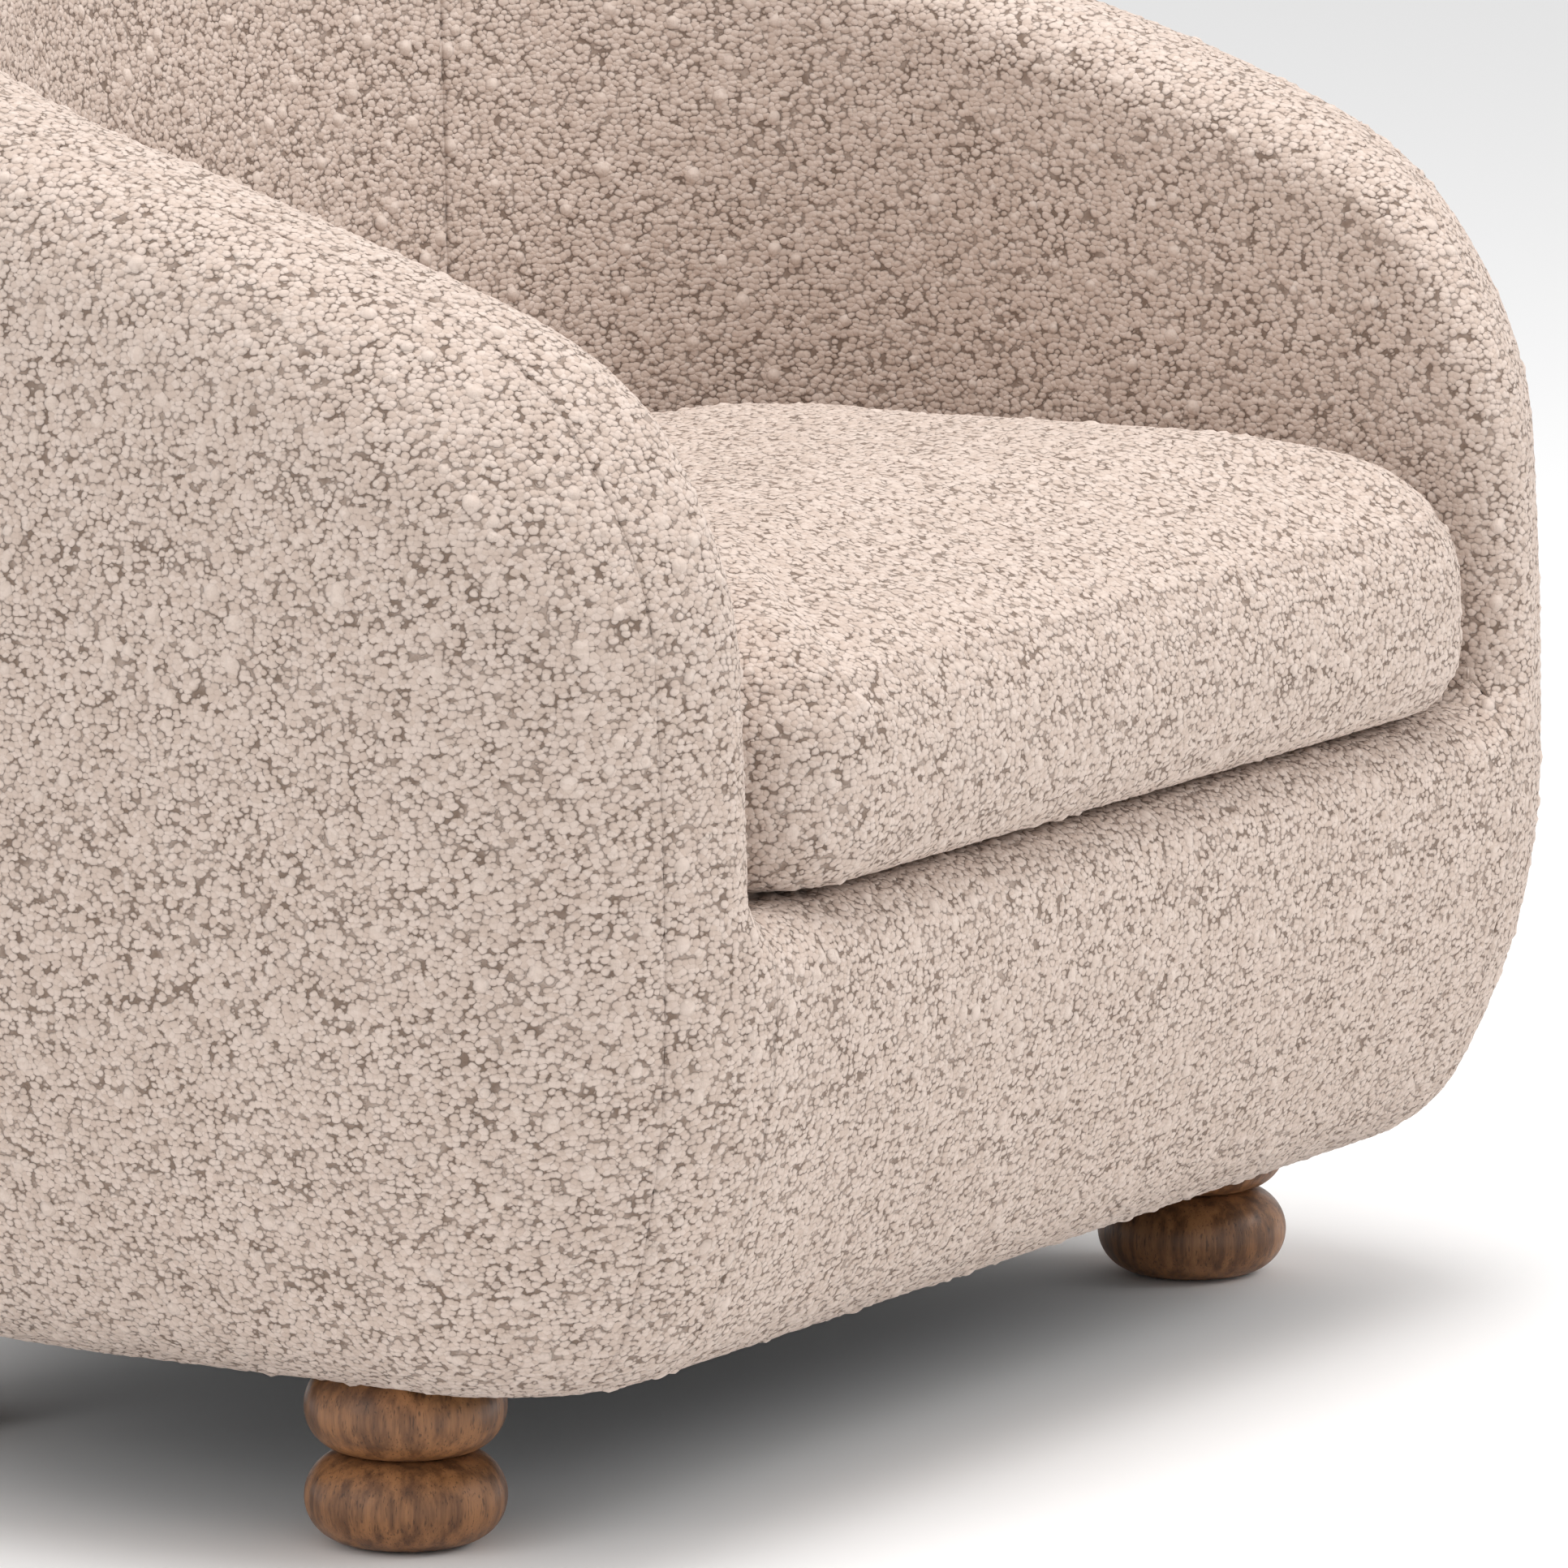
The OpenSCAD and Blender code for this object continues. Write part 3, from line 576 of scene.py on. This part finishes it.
CELL = 0.0065
SEAM_DEPTH = 0.0014
SEAM_W = 0.0022
PANEL_T = 0.006
SEAM_SIN = 0.5  # where the front seam stands, round the front corner
SPLIT = math.radians(47)
DECK_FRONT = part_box("front_cover")[1].y
HEM_IN = 0.030
SHOULDER_X = 0.456  # where the shoulder seam runs, seen from above
SHOULDER_B = 0.364
SHOULDER_N = 2.2
SHOULDER_START = 0.05
SHOULDER_RUN = 0.30
CUT_SNAP = 0.3  # points nearer to a cut than this share of a cell move onto it
UNDER_ABOVE = 0.004
UNDER_UP = -0.9
DECK_ABOVE = 0.03
DECK_UP = 0.3


def shoulder_line(p):
    """Positive on the outer covers: the seam runs up each arm's front and back along its shoulder."""
    x, y, z = p[..., 0], p[..., 1], p[..., 2]
    front = HALF_W - CORNER_R + SEAM_SIN * (CORNER_R + bulge(np.minimum(z, BULGE_Z)))
    share = np.clip((y - FRONT_Y - SHOULDER_START) / SHOULDER_RUN, 0, 1)
    straight = np.abs(x) - (front + (SHOULDER_X - front) * share * share * (3 - 2 * share))
    curved = oval(x, y - BARREL_Y, SHOULDER_X, SHOULDER_B, SHOULDER_N)
    return np.where(y < BARREL_Y, straight, curved)


def split_line(p):
    """Positive on the back: the seams where the arms end, seen from above."""
    return (p[..., 1] - BARREL_Y) * math.cos(SPLIT) - np.abs(p[..., 0]) * math.sin(SPLIT)


def rail_line(p):
    return np.abs(p[..., 0]) - SEAT_HALF


def deck_line(p):
    return p[..., 1] - DECK_FRONT


def floor_line(p):
    return p[..., 2] - (DECK_Z + 0.001)


def hem_line(p):
    return outline(p[..., 0], p[..., 1], np.full(p.shape[:-1], BASE_Z)) + HEM_IN


def make_panels():
    low = np.array([-HALF_W, FRONT_Y, BASE_Z]) - MARGIN
    high = np.array([HALF_W, BACK_Y, cad_high.z]) + MARGIN
    points, tris = surface(tub, low, high, CELL)
    for line in (shoulder_line, split_line, rail_line, deck_line, hem_line):
        points, tris = cut(points, tris, line, tub, CELL * CUT_SNAP)
    middle = points[tris].mean(1)
    normal = gradient(tub, middle)
    up = normal[:, 2] / np.linalg.norm(normal, axis=1)
    under = (middle[:, 2] < BASE_Z + UNDER_ABOVE) & (up < UNDER_UP) & (hem_line(middle) < 0)
    deck = (floor_line(middle) < DECK_ABOVE) & (up > DECK_UP)
    deck &= (deck_line(middle) > 0) & (well(*middle.T) < 0)
    rail = (rail_line(middle) < 0) & (deck_line(middle) < 0) & ~under
    outer = shoulder_line(middle) > 0
    back = split_line(middle) > 0
    left = middle[:, 0] > 0
    free = ~(under | deck | rail)
    return points, tris, {
        "dust_cover_cloth": under,
        "deck_cover": deck,
        "front_rail_cover": rail,
        "outer_cover_left_arm": free & outer & ~back & left,
        "outer_cover_right_arm": free & outer & ~back & ~left,
        "outer_cover_rear": free & outer & back,
        "inside_cover_left_arm": free & ~outer & ~back & left,
        "inside_cover_right_arm": free & ~outer & ~back & ~left,
        "inside_cover_rear": free & ~outer & back,
    }


REPLACED = {
    "dust_cover_cloth": ["dust_cover"],
    "deck_cover": ["deck_cloth", "deck_pad"],
    "front_rail_cover": ["front_cover", "front_padding"],
    "outer_cover_left_arm": ["outer_cover_left", "arm_front_pad_left"],
    "outer_cover_right_arm": ["outer_cover_right", "arm_front_pad_right"],
    "outer_cover_rear": ["outer_cover_back"],
    "inside_cover_left_arm": ["inside_cover_left", "arm_padding_left"],
    "inside_cover_right_arm": ["inside_cover_right", "arm_padding_right"],
    "inside_cover_rear": ["inside_cover_back", "back_padding"],
}
PLAIN = {"dust_cover_cloth": "dust_cloth", "deck_cover": "deck_cloth"}


SHOULDER_SHARE = 0.45  # the shoulder seams sink into the pile


def seam_nearness(p):
    """Up to 1 on a seam, and 0 a few millimetres from it. Below the hem and on the deck there are none."""
    shoulder = SHOULDER_SHARE * np.exp(-((shoulder_line(p) / SEAM_W) ** 2))
    return np.maximum(shoulder, np.exp(-((split_line(p) / SEAM_W) ** 2)))


def make_upholstery():
    points, tris, groups = make_panels()
    for name, chosen in groups.items():
        v, f = submesh(points, tris[chosen])
        plain = name in PLAIN
        v, f, start = closed_panel(v, f, tub, PANEL_T)
        seam = seam_nearness(v)
        seam[start:] = 0
        if plain:
            seam[:] = 0
        normal = gradient(tub, v)
        normal /= np.linalg.norm(normal, axis=1)[:, None]
        v = v - normal * (SEAM_DEPTH * seam)[:, None]
        piece = make_mesh(name, v, f)
        # The seam attribute also sets the painted shade along the seams in the boucle material.
        set_attribute(piece, "seam", seam)
        set_attribute(piece, "face", (np.arange(len(v)) < start) * (1 - 0.5 * seam))
        if not plain:
            raise_nubs(piece)
        paint(piece, PLAIN.get(name, "boucle"))
        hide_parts(*REPLACED[name])
        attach(piece, "tub")


make_upholstery()

# ---- The seat cushion ----

CUSHION_CELL = 0.007
CUSHION_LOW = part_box("cushion_bottom")[0]
CUSHION_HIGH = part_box("cushion_bottom")[1]
SEAM_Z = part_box("cushion_boxing")[1].z
CROWN_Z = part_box("cushion_top")[1].z
CUSHION_HALF = CUSHION_HIGH.x
CUSHION_B = CUSHION_HIGH.y - BARREL_Y
CUSHION_CORNER = 0.085
TOP_R, BOTTOM_R = 0.058, 0.034
TOP_SEAM_IN = 0.016  # how far the top seam lies inside the cushion's outline
BOTTOM_SEAM_Z = CUSHION_LOW.z + 0.020
CUSHION_SEAM_W = 0.0030
PUFF = 0.005  # how much smaller the cushion starts, before it is filled
CAP = 0.010  # how far a point may move as it is filled
CROWN_RUN = 0.24  # from the sides, how far the top takes to reach its full height
CROWN_N = 2.2
TOP_GAP, BOTTOM_GAP = 0.002, 0.003
HELD_H = 0.006  # the underside is held up to here
STEPS = 20


def cushion_side(p):
    x, y = p[..., 0], p[..., 1]
    front = CUSHION_LOW.y
    u, v = np.abs(x) - (CUSHION_HALF - CUSHION_CORNER), front + CUSHION_CORNER - y
    box = np.minimum(np.maximum(u, v), 0) + np.hypot(np.maximum(u, 0), np.maximum(v, 0)) - CUSHION_CORNER
    return np.where(y < BARREL_Y, box, oval(x, y - BARREL_Y, CUSHION_HALF, CUSHION_B, INNER_N))


def cushion(p):
    side = cushion_side(p)
    inward = np.clip(-side / CROWN_RUN, 0, 1)
    crown = (CROWN_Z - SEAM_Z - PUFF) * (1 - (1 - inward) ** CROWN_N)
    top = p[..., 2] - (SEAM_Z + TOP_GAP + crown)
    bottom = CUSHION_LOW.z + BOTTOM_GAP - p[..., 2]
    return smax(smax(side + PUFF, top, TOP_R), bottom, BOTTOM_R)


def fill_with_foam(piece, cap):
    """Inflates the piece by cloth simulation, and lets no point move further than cap."""
    before = np.array([v.co for v in piece.data.vertices])
    cloth = piece.modifiers.new("cloth", "CLOTH")
    settings = cloth.settings
    settings.quality = 5
    settings.mass = 0.4
    settings.tension_stiffness = 12
    settings.compression_stiffness = 12
    settings.shear_stiffness = 4
    settings.bending_stiffness = 1.5
    settings.use_pressure = True
    settings.uniform_pressure_force = 4
    settings.vertex_group_mass = "sewn"
    settings.pin_stiffness = 1.0
    settings.effector_weights.gravity = 0
    cloth.point_cache.frame_start = 1
    cloth.point_cache.frame_end = STEPS
    for step in range(1, STEPS + 1):
        scene.frame_set(step)
    apply_modifiers(piece)
    scene.frame_set(1)
    after = np.array([v.co for v in piece.data.vertices])
    move = after - before
    length = np.linalg.norm(move, axis=1)
    capped = before + move * (cap * np.tanh(length / cap) / np.maximum(length, 1e-9))[:, None]
    piece.data.vertices.foreach_set("co", capped.astype(np.float32).ravel())
    piece.data.update()


def cushion_seams(p):
    """1 on the seams between the boxing and the top and bottom."""
    side = cushion_side(p)
    top = np.where(p[..., 2] > SEAM_Z - 0.025, np.abs(side + TOP_SEAM_IN), 1)
    bottom = np.where(side > -0.02, np.abs(p[..., 2] - BOTTOM_SEAM_Z), 1)
    return np.exp(-((np.minimum(top, bottom) / CUSHION_SEAM_W) ** 2))


def make_cushion():
    low = np.array([-CUSHION_HALF, CUSHION_LOW.y, CUSHION_LOW.z]) - MARGIN
    high = np.array([CUSHION_HALF, CUSHION_HIGH.y, CROWN_Z]) + MARGIN
    points, tris = surface(cushion, low, high, CUSHION_CELL)
    piece = make_mesh("seat_cushion_cover", points, tris)
    sewn = piece.vertex_groups.new(name="sewn")
    held = (cushion_seams(points) > 0.5) | (points[:, 2] < CUSHION_LOW.z + HELD_H)
    sewn.add([int(i) for i in np.flatnonzero(held)], 1.0, "REPLACE")
    fill_with_foam(piece, CAP)
    piece.vertex_groups.clear()
    points = np.array([v.co for v in piece.data.vertices])
    name = piece.name
    bpy.data.objects.remove(piece)
    points, tris, _ = halve(points, tris)
    seam = cushion_seams(points)
    piece = make_mesh(name, points, tris)
    normal = np.array([v.normal for v in piece.data.vertices])
    points = points - normal * (SEAM_DEPTH * seam)[:, None]
    piece.data.vertices.foreach_set("co", points.astype(np.float32).ravel())
    piece.data.update()
    # The seam attribute also sets the painted shade along the seams in the boucle material.
    set_attribute(piece, "seam", seam * 0.6)
    set_attribute(piece, "face", 1 - 0.7 * seam)
    raise_nubs(piece)
    paint(piece, "boucle")
    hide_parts("cushion_foam", "cushion_top", "cushion_bottom", "cushion_boxing")
    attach(piece, "seat_cushion")


make_cushion()

# ---- CAD nodes that keep their shape ----

for row in frame["record"]["subparts"]:
    node = frame["nodes"][row["node"]]
    if not node.hide_render:
        paint(node, row["material_slot"])

# ---- Floor and light ----


def make_floor():
    half = 14.0
    corners = [(-half, -half, 0), (half, -half, 0), (half, half, 0), (-half, half, 0)]
    mesh = bpy.data.meshes.new("floor")
    mesh.from_pydata(corners, [], [(0, 1, 2, 3)])
    floor = bpy.data.objects.new("floor", mesh)
    scene.collection.objects.link(floor)
    material, n, shader, _ = new_material("floor")
    plug(n, shader, Base_Color=(0.94, 0.94, 0.94, 1), Roughness=0.9)
    floor.data.materials.append(material)


def area_light(name, place, target, size, power, colour=(1, 1, 1)):
    data = bpy.data.lights.new(name, "AREA")
    data.shape = "SQUARE"
    data.size = size
    data.energy = power
    data.color = colour
    lamp = bpy.data.objects.new(name, data)
    scene.collection.objects.link(lamp)
    lamp.location = place
    lamp.rotation_euler = (Vector(target) - Vector(place)).to_track_quat("-Z", "Y").to_euler()


def make_light():
    seat = (0, -0.1, 0.4)
    area_light("key", (2.2, -3.8, 3.0), seat, 2.2, 68)
    area_light("top", (-0.1, -0.3, 4.2), seat, 2.8, 114)
    area_light("left", (-4.6, 1.5, 1.9), seat, 2.0, 28)
    world = bpy.data.worlds.new("world")
    world.use_nodes = True
    world.node_tree.nodes["Background"].inputs["Color"].default_value = (1, 1, 1, 1)
    world.node_tree.nodes["Background"].inputs["Strength"].default_value = 0.73
    scene.world = world


make_floor()
make_light()
scene.view_settings.view_transform = "Standard"
